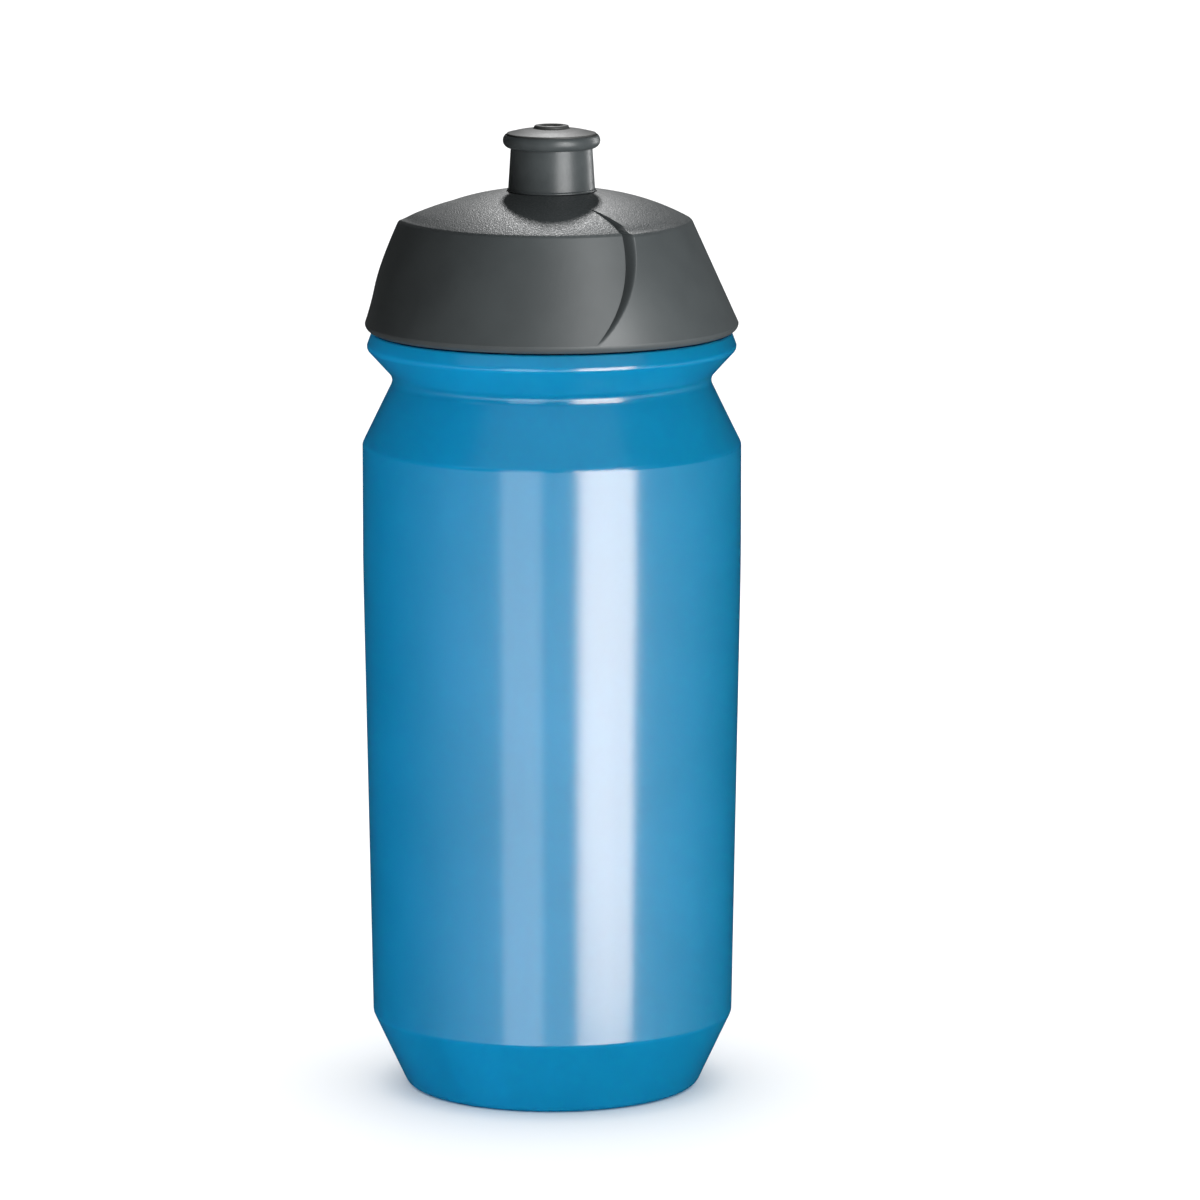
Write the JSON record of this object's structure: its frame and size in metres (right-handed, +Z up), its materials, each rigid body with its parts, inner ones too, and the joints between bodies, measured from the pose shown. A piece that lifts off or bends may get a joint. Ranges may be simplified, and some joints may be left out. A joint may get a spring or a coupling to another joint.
{
  "type": "squeeze bottle",
  "caption": "Sports squeeze bottle with a waisted body, a conical screw lid with swept grip blades and a push-pull nozzle.",
  "frame": {"origin": "centre of the base, on the plane that the bottle stands on", "axes": "+Z up along the bottle's axis, -Y the front, +X the right side seen from the front"},
  "size_m": [0.074, 0.074, 0.1898],
  "materials": {
    "body_plastic": "glossy translucent blue, blow moulded",
    "lid_plastic": "satin side and fine grained top",
    "soft_grip": "satin soft moulding",
    "nozzle_plastic": "semi gloss",
    "seal_rubber": "matte silicone"
  },
  "bodies": {
    "bottle": {"bottle_body": "body_plastic"},
    "seal": {"lid_gasket": "seal_rubber"},
    "cap": {"lid": "lid_plastic", "stem_o_ring": "seal_rubber"},
    "nozzle": {"nozzle_core": "nozzle_plastic", "mouthpiece_sleeve": "soft_grip"}
  },
  "joints": [
    {"name": "lid_advance", "type": "slide", "parent": "bottle", "child": "seal", "axis": [0, 0, 1], "range_m": [0, 0.00562]},
    {"name": "lid_turn", "type": "hinge", "parent": "seal", "child": "cap", "pos_m": [0, 0, 0.15], "axis": [0, 0, 1], "range_deg": [0, 450]},
    {"name": "nozzle_pull", "type": "slide", "parent": "cap", "child": "nozzle", "axis": [0, 0, 1], "range_m": [0, 0.006]}
  ],
  "couplings": [
    {"joint": "lid_advance", "follows": "lid_turn", "m_per_rad": 0.0007162}
  ]
}
